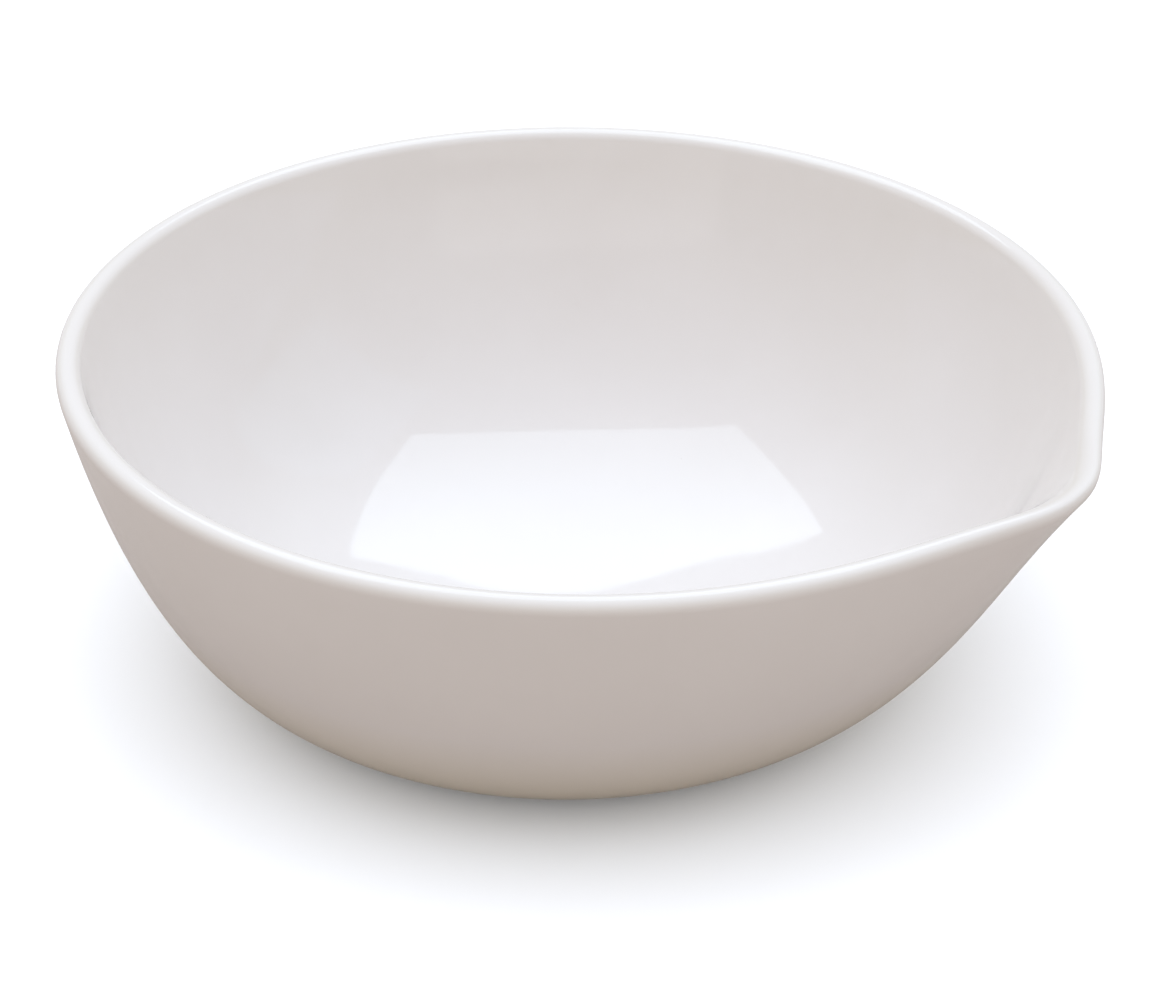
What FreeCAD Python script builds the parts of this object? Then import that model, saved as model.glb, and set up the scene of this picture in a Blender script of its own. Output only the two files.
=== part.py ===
import FreeCAD, Part
import math
import os

# A flat-bottomed porcelain evaporating dish with a drawn pouring lip.
# Frame: origin at the centre of the foot's underside, +Z up, the lip towards +X. Millimetres.
# The dish starts as a body of revolution, and one smooth stretch of its wall draws the lip out of it.
# That stretch is free-form and runs all the way round, so no revolve, loft of arcs or primitive fits:
# each sub-part is a Part::Feature, sewn from spline skins whose sizes are read from the sheet.

DRIVING_SIZES = (
    ("rim_radius", 50.0, "outer radius where the wall meets the round of the rim, before the lip is drawn"),
    ("wall_height", 34.2, "from the table to where the wall meets the round of the rim"),
    ("outside_power", 4.74, "the outside rises as this power of its radius"),
    ("foot_grind", 0.4, "depth ground off the underside to give it a flat foot"),
    ("rim_thickness", 2.5, "wall thickness at the rim, glaze included"),
    ("floor_thickness", 2.2, "thickness at the centre, glaze included"),
    ("hollow_depth", 5.0, "how much deeper the inside is in the middle, where it is rounded"),
    ("hollow_radius", 26.0, "how far out that rounding reaches"),
    ("floor_disc_radius", 1.5, "radius of the level middle of the inside floor"),
    ("glaze_thickness", 0.2, "thickness of the glaze"),
    ("glaze_line_height", 1.6, "height at which the outside glaze stops"),
    ("lip_reach", 4.8, "how far the spout itself stands out of the rim"),
    ("lip_half_angle", 11.2, "half the spout's width, in degrees about the axis"),
    ("lip_squareness", 2.4, "2 rounds the spout's end, more makes it squarer"),
    ("lip_growth", 3.3, "how fast the spout grows with height on the outside, 1 is even"),
    ("lip_flare", 6.5, "the same on the inside, where the spout flares open just under the rim"),
    ("shoulder_reach", 0.55, "how far the wall beside the spout is drawn out with it"),
    ("shoulder_half_angle", 30.0, "how far round the rim that reaches to each side, in degrees"),
    ("rim_draw", 1.7, "how far the whole rim leans over towards the lip"),
)

ANGLE_STEPS = 120
OUTSIDE_STEPS = 16
RIM_STEPS = 12
INSIDE_STEPS = 22
BAND_STEPS = 4
SPLINE_DEGREE = 3
SEWING_TOLERANCE = 1e-4
HALVINGS = 50


def make_sheet(doc):
    """The driving sizes, one to a row: alias, value, meaning."""
    sheet = doc.addObject("Spreadsheet::Sheet", "sizes")
    for row, (alias, value, meaning) in enumerate(DRIVING_SIZES, start=1):
        sheet.set(f"A{row}", alias)
        sheet.set(f"B{row}", str(value))
        sheet.set(f"C{row}", meaning)
        sheet.setAlias(f"B{row}", alias)
    doc.recompute()
    return sheet


class BowlCurve:
    """A bowl's section: height rises as a power of radius, over a rounded hollow in the middle."""

    def __init__(self, end_radius, depth, end_steepness, hollow_depth=0.0, hollow_radius=1.0):
        self.end_radius = end_radius
        self.hollow_depth = hollow_depth
        self.hollow_radius = hollow_radius
        self.rise = depth - self.hollow(end_radius)
        self.power = end_steepness * end_radius / self.rise

    def hollow(self, radius):
        return self.hollow_depth * (1 - math.exp(-((radius / self.hollow_radius) ** 2)))

    def height(self, radius):
        return self.rise * (radius / self.end_radius) ** self.power + self.hollow(radius)

    def slope(self, radius):
        """The slope angle at a radius."""
        steepness = self.power * self.rise / self.end_radius
        steepness *= (radius / self.end_radius) ** (self.power - 1)
        fade = math.exp(-((radius / self.hollow_radius) ** 2))
        steepness += 2 * self.hollow_depth * radius / self.hollow_radius**2 * fade
        return math.atan(steepness)

    def radius_where(self, measure, value):
        """The radius at which a measure that grows with it has a value, by halving."""
        low = 0.0
        high = self.end_radius
        for _ in range(HALVINGS):
            middle = (low + high) / 2
            if measure(middle) < value:
                low = middle
            else:
                high = middle
        return (low + high) / 2

    def radii(self, first, last, steps):
        """Radii from first to last, spread evenly in radius and slope together."""

        def progress(radius):
            return radius / self.end_radius + self.slope(radius) / self.slope(self.end_radius)

        between = spread(progress(first), progress(last), steps)[1:-1]
        return [first] + [self.radius_where(progress, value) for value in between] + [last]


class Outline:
    """Half of the dish's section through its axis, before the lip is drawn.

    Its stations are (radius, height, inward), where inward is 0 on the outside and 1 on the inside.
    Its curves lie on the fired body. A lift of the glaze's thickness gives the glaze's own face.
    """

    def __init__(self, sheet):
        self.size = {alias: float(sheet.get(alias)) for alias, _, _ in DRIVING_SIZES}
        size = self.size
        self.glaze = size["glaze_thickness"]
        end_radius = size["rim_radius"] - self.glaze
        depth = size["wall_height"] + size["foot_grind"]
        end_steepness = size["outside_power"] * depth / end_radius
        self.outer = BowlCurve(end_radius, depth, end_steepness)
        self.end_slope = self.outer.slope(end_radius)
        self.rim_round = size["rim_thickness"] / 2 - self.glaze
        self.rim_centre = self.outside(end_radius, -self.rim_round)
        self.top = self.rim_centre[1] + self.rim_round + self.glaze
        inner_radius, inner_height, _ = self.rim(1, 0)
        self.floor = size["floor_thickness"] - self.glaze
        self.inner = BowlCurve(
            inner_radius,
            inner_height - self.floor,
            end_steepness,
            size["hollow_depth"],
            size["hollow_radius"],
        )

    def outside(self, radius, lift):
        slope = self.outer.slope(radius)
        height = self.outer.height(radius) - self.size["foot_grind"]
        return radius + lift * math.sin(slope), height - lift * math.cos(slope), 0.0

    def rim(self, share, lift):
        """The half circle over the rim, from share 0 at the outside to share 1 at the inside."""
        angle = self.end_slope - math.pi / 2 + math.pi * share
        reach = self.rim_round + lift
        radius, height, _ = self.rim_centre
        return radius + reach * math.cos(angle), height + reach * math.sin(angle), share

    def inside(self, radius, lift):
        slope = self.inner.slope(radius)
        height = self.inner.height(radius) + self.floor
        return radius - lift * math.sin(slope), height + lift * math.cos(slope), 1.0

    def bare_band(self):
        """From the foot's edge up to the glaze line."""
        radii = self.outer.radii(self.foot_radius(), self.glaze_line_radius(), BAND_STEPS)
        return [self.outside(radius, 0) for radius in radii]

    def coated_side(self, lift):
        """From the glaze line up the outside, over the rim and down to the middle of the floor."""
        outside_radii = self.outer.radii(self.glaze_line_radius(), self.outer.end_radius, OUTSIDE_STEPS)
        inside_radii = self.inner.radii(self.inner.end_radius, self.size["floor_disc_radius"], INSIDE_STEPS)
        outside = [self.outside(radius, lift) for radius in outside_radii]
        rim = [self.rim(share, lift) for share in spread(0, 1, RIM_STEPS)]
        inside = [self.inside(radius, lift) for radius in inside_radii]
        return outside + rim[1:] + inside[1:]

    def foot_radius(self):
        return self.outer.radius_where(self.outer.height, self.size["foot_grind"])

    def glaze_line_radius(self):
        height = self.size["foot_grind"] + self.size["glaze_line_height"]
        return self.outer.radius_where(self.outer.height, height)


def spread(first, last, steps):
    """Evenly spaced values from first to last."""
    return [first + (last - first) * step / steps for step in range(steps + 1)]


def drawn_point(outline, station, angle):
    """A station of the revolved dish, moved out to where drawing the lip leaves it."""
    size = outline.size
    radius, height, inward = station
    rise = max(height, 0) / outline.top
    chord = 2 * abs(math.sin(angle / 2))
    lip_share = 1 / (1 + (chord / math.radians(size["lip_half_angle"])) ** size["lip_squareness"])
    shoulder_share = math.exp(-((chord / math.radians(size["shoulder_half_angle"])) ** 2))
    growth = size["lip_growth"] + (size["lip_flare"] - size["lip_growth"]) * inward
    reach = radius + size["lip_reach"] * lip_share * rise**growth
    reach += size["shoulder_reach"] * shoulder_share * rise
    lean = size["rim_draw"] * rise
    return FreeCAD.Vector(reach * math.cos(angle) + lean, reach * math.sin(angle), height)


def closed_ring(outline, station):
    """Poles of the closed cubic spline through one station, all the way round."""
    step = 2 * math.pi / ANGLE_STEPS
    points = [drawn_point(outline, station, step * index) for index in range(ANGLE_STEPS)]
    return [
        points[index] * (4 / 3) - (points[index - 1] + points[(index + 1) % ANGLE_STEPS]) * (1 / 6)
        for index in range(ANGLE_STEPS)
    ]


def skin(outline, stations):
    """One smooth face through the stations of an outline, all the way round."""
    rings = [closed_ring(outline, station) for station in stations]
    poles = [list(meridian) for meridian in zip(*rings)]
    degree = min(SPLINE_DEGREE, len(stations) - 1)
    spans = len(stations) - degree
    surface = Part.BSplineSurface()
    surface.buildFromPolesMultsKnots(
        poles,
        [1] * (ANGLE_STEPS + 1),
        [degree + 1] + [1] * (spans - 1) + [degree + 1],
        list(range(ANGLE_STEPS + 1)),
        list(range(spans + 1)),
        True,
        False,
        SPLINE_DEGREE,
        degree,
    )
    return surface.toShape()


def disc(outline, station):
    """The flat face inside one ring."""
    ring = closed_ring(outline, station)
    curve = Part.BSplineCurve()
    curve.buildFromPolesMultsKnots(
        ring, [1] * (ANGLE_STEPS + 1), list(range(ANGLE_STEPS + 1)), True, SPLINE_DEGREE
    )
    return Part.Face(Part.Wire(curve.toShape()))


def closed_solid(faces):
    """The solid that the faces shut in."""
    sewn = Part.makeCompound(faces)
    sewn.sewShape(SEWING_TOLERANCE)
    solid = Part.Solid(sewn.Shells[0])
    if solid.Volume < 0:
        solid.reverse()
    return solid


def make_porcelain_body(doc, outline):
    """The fired body, bare on the foot and the band above it."""
    band = outline.bare_band()
    coated = outline.coated_side(0)
    faces = [
        disc(outline, band[0]),
        skin(outline, band),
        skin(outline, coated),
        disc(outline, coated[-1]),
    ]
    return add_feature(doc, "porcelain_body", closed_solid(faces))


def make_glaze_coat(doc, outline):
    """The glaze over the inside, the rim and the outside, lying on the body."""
    under = outline.coated_side(0)
    over = outline.coated_side(outline.glaze)
    faces = [
        skin(outline, under),
        disc(outline, under[-1]),
        skin(outline, over),
        disc(outline, over[-1]),
        skin(outline, [under[0], over[0]]),
    ]
    return add_feature(doc, "glaze_coat", closed_solid(faces))


def add_feature(doc, name, shape):
    """A sub-part of the document with its label and its place."""
    feature = doc.addObject("Part::Feature", name)
    feature.Label = name
    feature.Shape = shape
    feature.Placement = FreeCAD.Placement()
    return feature


def check(doc, sub_parts):
    """Stops if anything failed to build."""
    for item in doc.Objects:
        if "Invalid" in item.State or "Error" in item.State:
            raise RuntimeError(f"{item.Name} did not build: {item.State}")
    for part in sub_parts:
        if part.Shape.isNull() or not part.Shape.isValid():
            raise RuntimeError(f"{part.Label} has no valid shape")
        if len(part.Shape.Solids) != 1:
            raise RuntimeError(f"{part.Label} is not one solid")


def main():
    doc = FreeCAD.newDocument("evaporating_dish")
    sheet = make_sheet(doc)
    outline = Outline(sheet)
    sub_parts = [make_porcelain_body(doc, outline), make_glaze_coat(doc, outline)]
    doc.recompute()
    check(doc, sub_parts)
    os.makedirs("parts", exist_ok=True)
    for part in sub_parts:
        part.Shape.exportStep(f"parts/{part.Label}.step")
        box = part.Shape.BoundBox
        print(part.Label, "volume", round(part.Shape.Volume), "box", box)


main()
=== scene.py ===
import math

import bmesh
import bpy
from mathutils import Matrix, Vector


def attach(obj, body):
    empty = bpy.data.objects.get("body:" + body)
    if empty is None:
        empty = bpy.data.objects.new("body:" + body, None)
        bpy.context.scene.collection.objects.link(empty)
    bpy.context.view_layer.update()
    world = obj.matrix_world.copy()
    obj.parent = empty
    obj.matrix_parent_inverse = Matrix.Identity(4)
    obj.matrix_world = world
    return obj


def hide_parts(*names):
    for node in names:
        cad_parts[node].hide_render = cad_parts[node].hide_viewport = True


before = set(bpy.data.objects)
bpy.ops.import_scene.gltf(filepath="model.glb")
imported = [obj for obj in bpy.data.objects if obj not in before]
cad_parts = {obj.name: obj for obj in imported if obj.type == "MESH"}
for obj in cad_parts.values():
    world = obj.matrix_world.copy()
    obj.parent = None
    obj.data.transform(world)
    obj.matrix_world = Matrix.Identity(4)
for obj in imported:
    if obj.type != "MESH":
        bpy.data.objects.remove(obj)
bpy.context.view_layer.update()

# Metres, +Z up, the lip towards +X.
MM = 0.001

# The design's driving sizes, in millimetres, as in the part's own sheet.
RIM_RADIUS = 50.0
WALL_HEIGHT = 34.2
OUTSIDE_POWER = 4.74
FOOT_GRIND = 0.4
RIM_THICKNESS = 2.5
FLOOR_THICKNESS = 2.2
HOLLOW_DEPTH = 5.0
HOLLOW_RADIUS = 26.0
GLAZE = 0.2
GLAZE_LINE_HEIGHT = 1.6
LIP_REACH = 4.8
LIP_HALF_ANGLE = math.radians(11.2)
LIP_SQUARENESS = 2.4
LIP_GROWTH = 3.3
LIP_FLARE = 6.5
SHOULDER_REACH = 0.55
SHOULDER_HALF_ANGLE = math.radians(30.0)
RIM_DRAW = 1.7

# How finely the pieces are meshed.
ANGLES = 288
WALL_RINGS = 44
BOWL_RINGS = 68
RIM_RINGS = 16
BEAD_RINGS = 14
BAND_RINGS = 10
HALVINGS = 40
CENTRE_RADIUS = 0.3

# What the hand and the kiln add, in millimetres and radians.
GLAZE_LINE_WANDER = 0.22
BEAD_HEIGHT = 0.07
BEAD_WIDTH = 0.55
BEAD_SPAN = 3.0
FOOT_BEVEL = 0.25
RIM_WARP = 0.05
# Waves to the turn and phase: the rim out of round, and out of level.
OUT_OF_ROUND = (3, 1.0)
OUT_OF_LEVEL = (2, 0.6)
# Waves to the turn, phase and weight.
GLAZE_LINE_WAVES = ((3, 0.4, 1), (7, 2.1, 0.6), (17, 0, 0.35))
# How fast the outside's finish gives way to the inside's over the rim.
CREST_FADE = 1.6


def spread(first, last, steps):
    """Evenly spaced values from first to last."""
    return [first + (last - first) * step / steps for step in range(steps + 1)]


def smooth(share):
    """0 to 1 with level ends."""
    share = min(1.0, max(0.0, share))
    return share * share * (3 - 2 * share)


class BowlCurve:
    """A bowl's section: height rises as a power of radius, over a rounded hollow in the middle."""

    def __init__(self, end_radius, depth, end_steepness, hollow_depth=0.0, hollow_radius=1.0):
        self.end_radius = end_radius
        self.hollow_depth = hollow_depth
        self.hollow_radius = hollow_radius
        self.rise = depth - self.hollow(end_radius)
        self.power = end_steepness * end_radius / self.rise

    def hollow(self, radius):
        return self.hollow_depth * (1 - math.exp(-((radius / self.hollow_radius) ** 2)))

    def height(self, radius):
        return self.rise * (radius / self.end_radius) ** self.power + self.hollow(radius)

    def slope(self, radius):
        """The slope angle at a radius."""
        steepness = self.power * self.rise / self.end_radius
        steepness *= (radius / self.end_radius) ** (self.power - 1)
        fade = math.exp(-((radius / self.hollow_radius) ** 2))
        steepness += 2 * self.hollow_depth * radius / self.hollow_radius**2 * fade
        return math.atan(steepness)

    def radius_where(self, measure, value):
        """The radius at which a measure that grows with it has a value, by halving."""
        low, high = 0.0, self.end_radius
        for _ in range(HALVINGS):
            middle = (low + high) / 2
            if measure(middle) < value:
                low = middle
            else:
                high = middle
        return (low + high) / 2

    def radii(self, first, last, steps):
        """Radii from first to last, spread evenly in radius and slope together."""

        def progress(radius):
            return radius / self.end_radius + self.slope(radius) / self.slope(self.end_radius)

        between = spread(progress(first), progress(last), steps)[1:-1]
        return [first] + [self.radius_where(progress, value) for value in between] + [last]


# The fired body's section, as (radius, height, inward) stations. Inward is 0 on the outside and 1 on the
# inside. A lift of the glaze's thickness gives the glaze's own face.
END_RADIUS = RIM_RADIUS - GLAZE
END_STEEPNESS = OUTSIDE_POWER * (WALL_HEIGHT + FOOT_GRIND) / END_RADIUS
OUTER = BowlCurve(END_RADIUS, WALL_HEIGHT + FOOT_GRIND, END_STEEPNESS)
RIM_ROUND = RIM_THICKNESS / 2 - GLAZE


def outside(radius, lift=0.0):
    slope = OUTER.slope(radius)
    height = OUTER.height(radius) - FOOT_GRIND
    return radius + lift * math.sin(slope), height - lift * math.cos(slope), 0.0


RIM_CENTRE = outside(END_RADIUS, -RIM_ROUND)
TOP = RIM_CENTRE[1] + RIM_ROUND + GLAZE


def rim(share, lift=0.0):
    """The half circle over the rim, from share 0 at the outside to share 1 at the inside."""
    angle = OUTER.slope(END_RADIUS) - math.pi / 2 + math.pi * share
    reach = RIM_ROUND + lift
    return RIM_CENTRE[0] + reach * math.cos(angle), RIM_CENTRE[1] + reach * math.sin(angle), share


BODY_FLOOR = FLOOR_THICKNESS - GLAZE
INNER = BowlCurve(rim(1)[0], rim(1)[1] - BODY_FLOOR, END_STEEPNESS, HOLLOW_DEPTH, HOLLOW_RADIUS)


def inside(radius, lift=0.0):
    slope = INNER.slope(radius)
    height = BODY_FLOOR + INNER.height(radius)
    return radius - lift * math.sin(slope), height + lift * math.cos(slope), 1.0


def wave(angle, count, phase):
    return math.cos(count * angle + phase)


def drawn(station, angle):
    """A station of the revolved dish, moved out to where drawing the lip leaves it, in metres."""
    radius, height, inward = station
    rise = max(height, 0) / TOP
    growth = LIP_GROWTH + (LIP_FLARE - LIP_GROWTH) * inward
    chord = 2 * abs(math.sin(angle / 2))
    lip_share = 1 / (1 + (chord / LIP_HALF_ANGLE) ** LIP_SQUARENESS)
    shoulder_share = math.exp(-((chord / SHOULDER_HALF_ANGLE) ** 2))
    reach = radius + LIP_REACH * lip_share * rise**growth + SHOULDER_REACH * shoulder_share * rise
    reach += RIM_WARP * rise**2 * wave(angle, *OUT_OF_ROUND)
    sag = RIM_WARP * rise**3 * wave(angle, *OUT_OF_LEVEL)
    return Vector((reach * math.cos(angle) + RIM_DRAW * rise, reach * math.sin(angle), height + sag)) * MM


def glaze_line_height(angle):
    """The line wanders a little as it goes round."""
    wander = sum(weight * math.sin(count * angle + phase) for count, phase, weight in GLAZE_LINE_WAVES)
    return GLAZE_LINE_HEIGHT + GLAZE_LINE_WANDER * wander / 2


def line_radius(angle=None):
    """The outside's radius at the wandering glaze line, or at its middle height."""
    height = GLAZE_LINE_HEIGHT if angle is None else glaze_line_height(angle)
    return OUTER.radius_where(OUTER.height, FOOT_GRIND + height)


UPPER_WALL_START = line_radius() + BEAD_SPAN


def edge_of_glaze(angle, lift):
    """The outside from the wandering line up to the even steps, with the bead that the glaze ends in."""
    first = line_radius(angle)
    points = []
    for step in range(BEAD_RINGS):
        run = (UPPER_WALL_START - first) * (step / BEAD_RINGS) ** 2
        thickness = 0
        if lift:
            onset = min(1, run / BEAD_WIDTH)
            bead = BEAD_HEIGHT * math.exp(-(((run - BEAD_WIDTH) / BEAD_WIDTH) ** 2))
            thickness = (lift + bead) * math.sqrt(1 - (1 - onset) ** 2)
        points.append(outside(first + run, thickness))
    return points


def upper_side(lift):
    """From above the bead up the outside, over the rim and down to the middle of the floor."""
    wall = [outside(radius, lift) for radius in OUTER.radii(UPPER_WALL_START, END_RADIUS, WALL_RINGS)]
    top = [rim(share, lift) for share in spread(0, 1, RIM_RINGS)]
    bowl = [inside(radius, lift) for radius in INNER.radii(INNER.end_radius, CENTRE_RADIUS, BOWL_RINGS)]
    return wall + top[1:] + bowl[1:]


def bare_side():
    """The foot's ground face, its worn edge, and the band above it up to where the glaze may start."""
    foot_radius = OUTER.radius_where(OUTER.height, FOOT_GRIND)
    face = [(radius, 0.0, 0.0) for radius in spread(1.0, foot_radius - FOOT_BEVEL, 6)]
    edge_radius, edge_height, _ = outside(foot_radius + FOOT_BEVEL)
    edge = []
    for share in spread(0, 1, 5):
        turn = share * math.pi / 2
        radius = foot_radius - FOOT_BEVEL + (edge_radius - foot_radius + FOOT_BEVEL) * math.sin(turn)
        edge.append((radius, edge_height * (1 - math.cos(turn)), 0.0))
    band = [outside(radius) for radius in spread(foot_radius + FOOT_BEVEL, UPPER_WALL_START, BAND_RINGS)]
    return face[:-1] + edge + band[1:-1]


def turned_mesh(name, section_at, start_height, end_height):
    """A closed mesh round the axis through the section at each angle, with a point on it at each end."""
    bm = bmesh.new()
    turns = [2 * math.pi * index / ANGLES for index in range(ANGLES)]
    columns = []
    for turn in turns:
        columns.append([bm.verts.new(drawn(station, turn)) for station in section_at(turn)])
    for left, right in zip(columns, columns[1:] + columns[:1]):
        for index in range(len(left) - 1):
            bm.faces.new((left[index], right[index], right[index + 1], left[index + 1]))
    for height, end in ((start_height, 0), (end_height, -1)):
        centre = bm.verts.new((0, 0, height * MM))
        for left, right in zip(columns, columns[1:] + columns[:1]):
            bm.faces.new((left[end], right[end], centre))
    bmesh.ops.recalc_face_normals(bm, faces=bm.faces)
    mesh = bpy.data.meshes.new(name)
    bm.to_mesh(mesh)
    bm.free()
    for polygon in mesh.polygons:
        polygon.use_smooth = True
    piece = bpy.data.objects.new(name, mesh)
    bpy.context.scene.collection.objects.link(piece)
    return piece


def make_body():
    section = bare_side() + upper_side(0)
    return turned_mesh("fired_body", lambda angle: section, 0.0, BODY_FLOOR)


def make_glaze():
    """A closed coat: along the body from the floor's middle to the glaze line, and back over its own face.

    Its attribute "outside" goes from 1 to 0 over the rim, so that one material can tell the two sides apart.
    """
    under = upper_side(0)[::-1]
    over = upper_side(GLAZE)

    def section_at(angle):
        return under + edge_of_glaze(angle, 0)[::-1] + edge_of_glaze(angle, GLAZE)[1:] + over

    piece = turned_mesh("glaze_skin", section_at, BODY_FLOOR, FLOOR_THICKNESS)
    hidden = [0.0] * (len(under) + BEAD_RINGS - 1)
    outer = [1.0] * (BEAD_RINGS + WALL_RINGS + 1)
    crest = [1 - smooth(CREST_FADE * share) for share in spread(0, 1, RIM_RINGS)][1:]
    inner = [0.0] * BOWL_RINGS
    facing = piece.data.attributes.new("outside", "FLOAT", "POINT")
    facing.data.foreach_set("value", (hidden + outer + crest + inner) * ANGLES + [0.0, 0.0])
    return piece


def principled(name, **values):
    """A new material and its shader node, with these values on the shader's own sockets."""
    material = bpy.data.materials.new(name)
    material.use_nodes = True
    shader = material.node_tree.nodes["Principled BSDF"]
    for socket, value in values.items():
        shader.inputs[socket.replace("_", " ")].default_value = value
    return material, shader


def noise(nodes, links, position, scale, detail):
    """Noise from 0 to 1 over the object's own coordinates, with this many features to the metre."""
    texture = nodes.new("ShaderNodeTexNoise")
    texture.inputs["Scale"].default_value = scale
    texture.inputs["Detail"].default_value = detail
    texture.inputs["Roughness"].default_value = NOISE_ROUGHNESS
    links.new(position, texture.inputs["Vector"])
    return texture.outputs["Fac"]


def ramp(nodes, links, value, stops):
    """Colours at places from 0 to 1."""
    node = nodes.new("ShaderNodeValToRGB")
    elements = node.color_ramp.elements
    while len(elements) < len(stops):
        elements.new(0.5)
    for element, (place, colour) in zip(elements, stops):
        element.position = place
        element.color = (*colour, 1)
    links.new(value, node.inputs["Fac"])
    return node.outputs["Color"]


def blend(nodes, links, share, first, second):
    """From the first colour to the second as the share goes from 0 to 1."""
    node = nodes.new("ShaderNodeMix")
    node.data_type = "RGBA"
    for socket, source in ((node.inputs[0], share), (node.inputs[6], first), (node.inputs[7], second)):
        if isinstance(source, tuple):
            socket.default_value = (*source, 1)
        else:
            links.new(source, socket)
    return node.outputs[2]


def ranged(nodes, links, value, low, high, out_low, out_high):
    """A value between low and high, spread over the output's range."""
    node = nodes.new("ShaderNodeMapRange")
    node.inputs["From Min"].default_value = low
    node.inputs["From Max"].default_value = high
    node.inputs["To Min"].default_value = out_low
    node.inputs["To Max"].default_value = out_high
    links.new(value, node.inputs["Value"])
    return node.outputs["Result"]


def maths(nodes, links, operation, first, second):
    node = nodes.new("ShaderNodeMath")
    node.operation = operation
    for socket, source in zip(node.inputs, (first, second)):
        if isinstance(source, (int, float)):
            socket.default_value = source
        else:
            links.new(source, socket)
    return node.outputs["Value"]


def dots(nodes, links, position, spacing, radius, kept):
    """1 in small round dots, 0 between them. This share of the cells keeps its dot. Lengths in metres."""
    cells = nodes.new("ShaderNodeTexVoronoi")
    cells.inputs["Scale"].default_value = 1 / spacing
    links.new(position, cells.inputs["Vector"])
    size = radius / spacing
    inside_dot = ranged(nodes, links, cells.outputs["Distance"], DOT_CORE * size, size, 1, 0)
    split = nodes.new("ShaderNodeSeparateColor")
    links.new(cells.outputs["Color"], split.inputs["Color"])
    chosen = maths(nodes, links, "GREATER_THAN", split.outputs["Red"], 1 - kept)
    return maths(nodes, links, "MULTIPLY", inside_dot, chosen)


def bump(nodes, links, height, depth, below=None):
    """A surface relief this many metres deep, on top of another one."""
    node = nodes.new("ShaderNodeBump")
    node.inputs["Strength"].default_value = 1.0
    node.inputs["Distance"].default_value = depth
    links.new(height, node.inputs["Height"])
    if below:
        links.new(below, node.inputs["Normal"])
    return node.outputs["Normal"]


def object_position(nodes):
    return nodes.new("ShaderNodeTexCoord").outputs["Object"]


def z_of(nodes, links, position):
    """The third of three coordinates."""
    split = nodes.new("ShaderNodeSeparateXYZ")
    links.new(position, split.inputs["Vector"])
    return split.outputs["Z"]


def make_glaze_material():
    """Clear glossy glaze on white porcelain: faintly mottled and gently uneven.

    Outside it turns creamier and darker towards the foot, partly thin glaze over the body and partly painted
    warm shade of the table's bounce, and the rim's crest is lighter, a painted light.
    """
    material, shader = principled("glazed_porcelain", IOR=CERAMIC_IOR)
    nodes, links = material.node_tree.nodes, material.node_tree.links
    position = object_position(nodes)
    clouds = noise(nodes, links, position, GLAZE_CLOUDS, 3)
    white = ramp(nodes, links, clouds, ((NOISE_SPAN[0], GLAZE_SHADE), (NOISE_SPAN[1], GLAZE_WHITE)))
    height = z_of(nodes, links, position)
    facing = nodes.new("ShaderNodeAttribute")
    facing.attribute_name = "outside"
    # Darker, creamier outside towards the foot: partly thin glaze showing the body, partly painted warm shade
    # of the table's bounce near the foot.
    thin_and_shade_edge = ranged(nodes, links, height, *THIN_AND_SHADE_SPAN, 1, 0)
    thin_and_shade = maths(nodes, links, "MULTIPLY", thin_and_shade_edge, facing.outputs["Fac"])
    colour = blend(nodes, links, thin_and_shade, white, GLAZE_THIN_AND_FOOT_SHADE)
    inward = maths(nodes, links, "SUBTRACT", 1, facing.outputs["Fac"])
    # Painted light: the rim's crest is made lighter in colour, as if lit through from both sides.
    crest = maths(nodes, links, "MULTIPLY", maths(nodes, links, "MULTIPLY", inward, facing.outputs["Fac"]), 4)
    colour = blend(nodes, links, crest, colour, GLAZE_RIM_PAINTED_LIGHT)
    specks = dots(nodes, links, position, *SPECKS)
    colour = blend(nodes, links, maths(nodes, links, "MULTIPLY", specks, SPECK_SHARE), colour, SPECK)
    links.new(colour, shader.inputs["Base Color"])
    patches = noise(nodes, links, position, GLOSS_PATCHES, 2)
    gloss = ranged(nodes, links, patches, *NOISE_SPAN, *INSIDE_ROUGHNESS)
    outer_gloss = ranged(nodes, links, patches, *NOISE_SPAN, *OUTSIDE_ROUGHNESS)
    rough = nodes.new("ShaderNodeMix")
    links.new(facing.outputs["Fac"], rough.inputs[0])
    links.new(gloss, rough.inputs[2])
    links.new(outer_gloss, rough.inputs[3])
    links.new(rough.outputs[0], shader.inputs["Roughness"])
    waves = bump(nodes, links, noise(nodes, links, position, WAVES, 1), WAVE_DEPTH)
    skin = bump(nodes, links, noise(nodes, links, position, SKIN, 2), SKIN_DEPTH, waves)
    pits = maths(nodes, links, "MULTIPLY", dots(nodes, links, position, *PITS), -1)
    links.new(bump(nodes, links, pits, PIT_DEPTH, skin), shader.inputs["Normal"])
    return material


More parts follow.
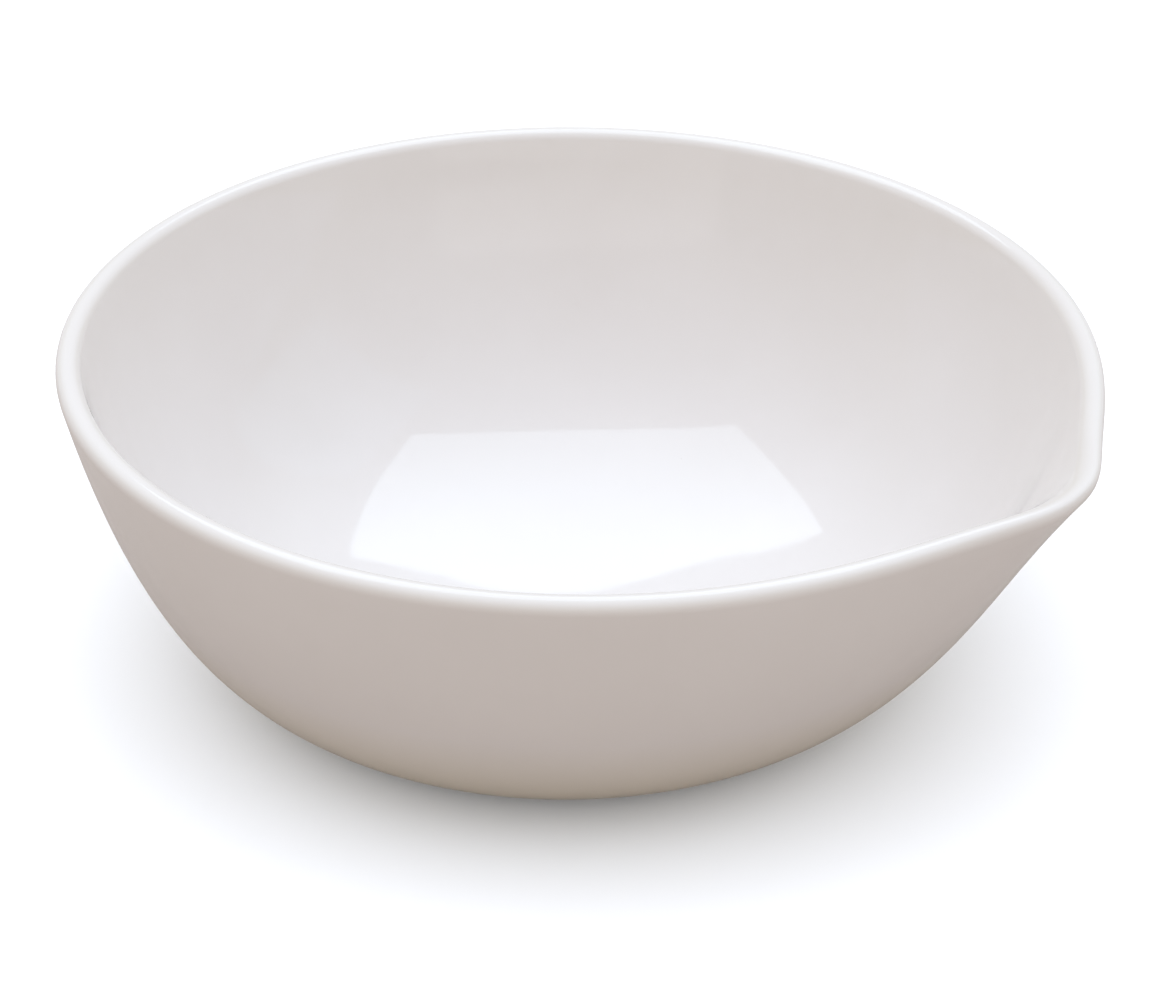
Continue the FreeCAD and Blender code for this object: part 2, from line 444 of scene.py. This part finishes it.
def make_body_material():
    """Bare fired porcelain: matt, creamy and fine grained, ground in rings on the foot and greyed by use."""
    material, shader = principled("bare_fired_porcelain", IOR=CERAMIC_IOR)
    nodes, links = material.node_tree.nodes, material.node_tree.links
    position = object_position(nodes)
    clouds = noise(nodes, links, position, BODY_CLOUDS, 4)
    cream = ramp(nodes, links, clouds, ((NOISE_SPAN[0], BODY_SHADE), (NOISE_SPAN[1], BODY_CREAM)))
    height = z_of(nodes, links, position)
    on_foot = ranged(nodes, links, height, *FOOT_SPAN, 1, 0)
    rings = nodes.new("ShaderNodeTexWave")
    rings.wave_type = "RINGS"
    rings.rings_direction = "Z"
    rings.inputs["Scale"].default_value = GRINDING_RINGS
    rings.inputs["Distortion"].default_value = 3
    rings.inputs["Detail"].default_value = 4
    links.new(position, rings.inputs["Vector"])
    ground = maths(nodes, links, "MULTIPLY", rings.outputs["Fac"], on_foot)
    worn = maths(nodes, links, "MULTIPLY", noise(nodes, links, position, WEAR, 4), on_foot)
    grime = ranged(nodes, links, worn, *WEAR_SPAN, 0, GRIME_SHARE)
    colour = blend(nodes, links, maths(nodes, links, "MULTIPLY", ground, GROUND_SHARE), cream, BODY_GROUND)
    colour = blend(nodes, links, grime, colour, BODY_GRIME)
    grit = dots(nodes, links, position, *GRIT)
    colour = blend(nodes, links, maths(nodes, links, "MULTIPLY", grit, GRIT_SHARE), colour, SPECK)
    links.new(colour, shader.inputs["Base Color"])
    grain = noise(nodes, links, position, GRAIN, 3)
    links.new(ranged(nodes, links, grain, *NOISE_SPAN, *BODY_ROUGHNESS), shader.inputs["Roughness"])
    relief = bump(nodes, links, grain, GRAIN_DEPTH)
    links.new(bump(nodes, links, ground, GRAIN_DEPTH, relief), shader.inputs["Normal"])
    return material


def make_floor_material():
    """White paper to the camera. The dish gets a weaker and warmer light back from it."""
    material, shader = principled("floor_paper", Roughness=PAPER_ROUGHNESS, Specular_IOR_Level=PAPER_SHEEN)
    nodes, links = material.node_tree.nodes, material.node_tree.links
    path = nodes.new("ShaderNodeLightPath")
    pick = nodes.new("ShaderNodeMix")
    pick.data_type = "RGBA"
    pick.inputs[6].default_value = TABLE_BOUNCE
    pick.inputs[7].default_value = TABLE_WHITE
    links.new(path.outputs["Is Camera Ray"], pick.inputs[0])
    links.new(pick.outputs[2], shader.inputs["Base Color"])
    return material


def make_floor():
    """A wide white table top, level under the foot."""
    bm = bmesh.new()
    corners = ((-1, -1), (1, -1), (1, 1), (-1, 1))
    bm.faces.new([bm.verts.new((x * FLOOR_REACH, y * FLOOR_REACH, 0)) for x, y in corners])
    mesh = bpy.data.meshes.new("floor")
    bm.to_mesh(mesh)
    bm.free()
    floor = bpy.data.objects.new("floor", mesh)
    bpy.context.scene.collection.objects.link(floor)
    mesh.materials.append(make_floor_material())
    return floor


# The camera stands as in the photograph: the lip turned this far towards it from its right.
CAMERA_AZIMUTH = math.radians(31.72)
CAMERA_ELEVATION = math.radians(29.14)
CAMERA_DISTANCE = 0.6
CAMERA_LENS = 189.2
CAMERA_ROLL = math.radians(0.49)
AIM_HEIGHT = 0.0136
AIM_RIGHT = 0.00199
AIM_UP = 0.00409
SENSOR_WIDTH = 36
CLIP_START = 0.01
CLIP_END = 50
CAMERA_RIGHT = Vector((math.cos(CAMERA_AZIMUTH), math.sin(CAMERA_AZIMUTH), 0))
CAMERA_AWAY = Vector((-math.sin(CAMERA_AZIMUTH), math.cos(CAMERA_AZIMUTH), 0))

# The materials' colours.
GLAZE_WHITE = (0.81, 0.775, 0.765)
GLAZE_SHADE = (0.785, 0.748, 0.735)
# Outside near the foot: thin glaze colour together with painted warm shade.
GLAZE_THIN_AND_FOOT_SHADE = (0.765, 0.71, 0.61)
# Painted light on the rim's crest.
GLAZE_RIM_PAINTED_LIGHT = (0.89, 0.87, 0.87)
SPECK = (0.3, 0.22, 0.15)
BODY_CREAM = (0.74, 0.69, 0.62)
BODY_SHADE = (0.68, 0.63, 0.56)
BODY_GROUND = (0.55, 0.52, 0.48)
BODY_GRIME = (0.36, 0.34, 0.31)
SPECK_SHARE = 0.45
GRIT_SHARE = 0.5
GROUND_SHARE = 0.25
GRIME_SHARE = 0.5

# The materials' detail. Noise scales in features to the metre, depths and heights in metres.
CERAMIC_IOR = 1.5
NOISE_ROUGHNESS = 0.55
NOISE_SPAN = (0.3, 0.7)
GLAZE_CLOUDS = 42
GLOSS_PATCHES = 160
INSIDE_ROUGHNESS = (0.045, 0.085)
OUTSIDE_ROUGHNESS = (0.19, 0.26)
# Heights over which the thin glaze and the painted foot shade fade out.
THIN_AND_SHADE_SPAN = (0.006, 0.016)
WAVES = 130
WAVE_DEPTH = 0.00003
SKIN = 900
SKIN_DEPTH = 0.0000012
PIT_DEPTH = 0.00002
BODY_CLOUDS = 120
BODY_ROUGHNESS = (0.55, 0.75)
FOOT_SPAN = (0.00005, 0.0003)
GRINDING_RINGS = 220
WEAR = 500
WEAR_SPAN = (0.45, 0.75)
GRAIN = 2600
GRAIN_DEPTH = 0.000012
# Dots: spacing, radius and the share of them that is kept, then how much of a dot is its full core.
SPECKS = (0.006, 0.00022, 0.04)
PITS = (0.004, 0.00012, 0.05)
GRIT = (0.0022, 0.00013, 0.06)
DOT_CORE = 0.4

# The studio. Lengths in metres. Each softbox or card has the radiance that it shows, and each of the
# table's two lights has a sun's strength.
SOFTBOX_HEIGHT = 1.07
SOFTBOX_WIDTH = 1.125
SOFTBOX_DEPTH = 1.2
SOFTBOX_RIGHT = -0.114
SOFTBOX_AWAY = 0.577
SOFTBOX_TURN = math.radians(4.1)
SOFTBOX_TILT = math.radians(3.8)
SOFTBOX_ROLL = math.radians(3.5)
SOFTBOX_RADIANCE = 1.86
SOFTBOX_COLOUR = (0.834, 1.0, 1.12)
FILL_RADIANCE = 0.27
FILL_COLOUR = (0.6, 1.0, 1.35)
FILL_SIZE = (1.0, 1.0)
FILL_PLACE = CAMERA_RIGHT * 1.0 + Vector((0, 0, 0.8))
STRIP_RADIANCE = 0.4
STRIP_COLOUR = (1, 1, 1)
STRIP_SIZE = (1.54, 0.21)
STRIP_PLACE = CAMERA_AWAY * -1.1 + Vector((0, 0, 0.305))
FLOOR_REACH = 6.0
PAPER_ROUGHNESS = 0.9
PAPER_SHEEN = 0.1
TABLE_WHITE = (0.885, 0.9, 0.915, 1)
TABLE_BOUNCE = (0.412, 0.376, 0.352, 1)
TABLE_SKY = 2.77
TABLE_SKY_LEAN = math.radians(35)
TABLE_SKY_SPREAD = math.radians(165)
TABLE_LOW = 0.6
TABLE_LOW_LEAN = math.radians(70)
TABLE_LOW_SPREAD = math.radians(40)
TABLE_LIGHT_COLOUR = (0.94, 1.0, 1.09)
ROOM_LIGHT = 1.1
ROOM_LOW = (0.405, 0.335, 0.2)
ROOM_HIGH = (0.9, 0.91, 0.977)
BACKDROP_WHITE = (1, 1, 1, 1)
BACKDROP_LIGHT = 1.2
BOUNCE_CLAMP = 3


def make_camera():
    back = Vector((
        math.sin(CAMERA_AZIMUTH) * math.cos(CAMERA_ELEVATION),
        -math.cos(CAMERA_AZIMUTH) * math.cos(CAMERA_ELEVATION),
        math.sin(CAMERA_ELEVATION),
    ))
    up = back.cross(CAMERA_RIGHT)
    target = Vector((0, 0, AIM_HEIGHT))
    place = target + back * CAMERA_DISTANCE
    aim = target + CAMERA_RIGHT * AIM_RIGHT + up * AIM_UP
    data = bpy.data.cameras.new("camera")
    data.lens = CAMERA_LENS
    data.sensor_width = SENSOR_WIDTH
    data.clip_start = CLIP_START
    data.clip_end = CLIP_END
    camera = bpy.data.objects.new("camera", data)
    bpy.context.scene.collection.objects.link(camera)
    camera.rotation_mode = "QUATERNION"
    look = (aim - place).to_track_quat("-Z", "Y")
    camera.rotation_quaternion = look @ Matrix.Rotation(CAMERA_ROLL, 3, "Z").to_quaternion()
    camera.location = place
    bpy.context.scene.camera = camera


def light_only(light, receivers):
    """Lets a light fall on these objects alone."""
    group = bpy.data.collections.new(light.name + "_receivers")
    for receiver in receivers:
        group.objects.link(receiver)
    light.light_linking.receiver_collection = group


def make_area_light(name, place, size, radiance, colour, receivers):
    """A rectangular light that shows this radiance and falls on these objects alone."""
    data = bpy.data.lights.new(name, "AREA")
    data.shape = "RECTANGLE"
    data.size, data.size_y = size
    data.energy = radiance * math.pi * size[0] * size[1]
    data.color = colour
    light = bpy.data.objects.new(name, data)
    light.location = place
    bpy.context.scene.collection.objects.link(light)
    light_only(light, receivers)
    return light


def make_softbox(receivers):
    """One nearly square softbox over and behind the dish, as the bowl mirrors it."""
    place = CAMERA_RIGHT * SOFTBOX_RIGHT + CAMERA_AWAY * SOFTBOX_AWAY + Vector((0, 0, SOFTBOX_HEIGHT))
    size = (SOFTBOX_WIDTH, SOFTBOX_DEPTH)
    softbox = make_area_light("softbox", place, size, SOFTBOX_RADIANCE, SOFTBOX_COLOUR, receivers)
    softbox.rotation_euler = (SOFTBOX_TILT, SOFTBOX_ROLL, CAMERA_AZIMUTH + SOFTBOX_TURN)


def make_card(name, place, size, radiance, colour, receivers):
    """A weak broad light that looks at the dish."""
    card = make_area_light(name, place, size, radiance, colour, receivers)
    card.rotation_mode = "QUATERNION"
    card.rotation_quaternion = (-place).to_track_quat("-Z", "Y")


def make_table_light(name, strength, lean, spread_angle, floor):
    """An even light for the table top alone, leaning from straight above towards the camera's side."""
    data = bpy.data.lights.new(name, "SUN")
    data.angle = spread_angle
    data.energy = strength
    data.color = TABLE_LIGHT_COLOUR
    light = bpy.data.objects.new(name, data)
    light.rotation_euler = (lean, 0, CAMERA_AZIMUTH)
    bpy.context.scene.collection.objects.link(light)
    light_only(light, [floor])


def make_world():
    """A dim room, lighter overhead, which the camera sees as white."""
    world = bpy.data.worlds.new("studio")
    bpy.context.scene.world = world
    world.use_nodes = True
    nodes, links = world.node_tree.nodes, world.node_tree.links
    room = nodes["Background"]
    room.inputs["Strength"].default_value = ROOM_LIGHT
    direction = nodes.new("ShaderNodeTexCoord").outputs["Generated"]
    upward = z_of(nodes, links, direction)
    links.new(ramp(nodes, links, upward, ((0, ROOM_LOW), (1, ROOM_HIGH))), room.inputs["Color"])
    seen = nodes.new("ShaderNodeBackground")
    seen.inputs["Color"].default_value = BACKDROP_WHITE
    seen.inputs["Strength"].default_value = BACKDROP_LIGHT
    path = nodes.new("ShaderNodeLightPath")
    pick = nodes.new("ShaderNodeMixShader")
    links.new(path.outputs["Is Camera Ray"], pick.inputs["Fac"])
    links.new(room.outputs["Background"], pick.inputs[1])
    links.new(seen.outputs["Background"], pick.inputs[2])
    links.new(pick.outputs["Shader"], nodes["World Output"].inputs["Surface"])


body = make_body()
glaze = make_glaze()
for piece, node, slot in (
    (body, "porcelain_body", "bare_porcelain"),
    (glaze, "glaze_coat", "glaze"),
):
    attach(piece, "root")
    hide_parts(node)
glaze.data.materials.append(make_glaze_material())
body.data.materials.append(make_body_material())
floor = make_floor()
make_camera()
make_world()
make_softbox([body, glaze])
make_card("fill", FILL_PLACE, FILL_SIZE, FILL_RADIANCE, FILL_COLOUR, [body, glaze])
make_card("strip", STRIP_PLACE, STRIP_SIZE, STRIP_RADIANCE, STRIP_COLOUR, [body, glaze])
make_table_light("table_sky", TABLE_SKY, TABLE_SKY_LEAN, TABLE_SKY_SPREAD, floor)
make_table_light("table_low_light", TABLE_LOW, TABLE_LOW_LEAN, TABLE_LOW_SPREAD, floor)
bpy.context.scene.view_settings.view_transform = "Standard"
bpy.context.scene.cycles.caustics_reflective = False
bpy.context.scene.cycles.caustics_refractive = False
bpy.context.scene.cycles.sample_clamp_indirect = BOUNCE_CLAMP
